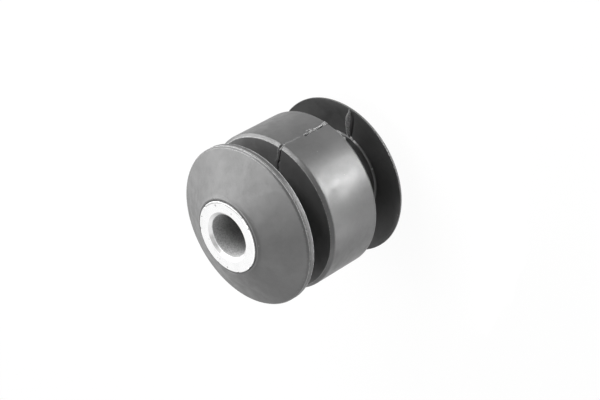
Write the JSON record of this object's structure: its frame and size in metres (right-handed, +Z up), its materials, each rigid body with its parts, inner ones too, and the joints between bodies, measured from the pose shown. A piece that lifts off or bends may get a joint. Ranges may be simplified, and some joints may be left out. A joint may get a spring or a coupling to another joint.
{
  "type": "rubber metal bush",
  "caption": "Rubber bush moulded on a steel sleeve, with a drum between coned flanges and a groove on each side of it. Its bore takes a pivot bolt, and the rubber damps vibration.",
  "frame": {"origin": "centre of the bore at the lower end face of the sleeve, on which it stands", "axes": "+Z up the bore, towards the end that faces the viewer in the picture; +X lies in the mould's parting plane, on the side that the picture shows"},
  "size_m": [0.045, 0.045, 0.05],
  "materials": {
    "rubber": "dark grey moulded rubber with a faint bloom",
    "steel": "bright turned steel"
  },
  "bodies": {
    "root": {"inner_sleeve": "steel", "rubber_body": "rubber"}
  },
  "joints": []
}
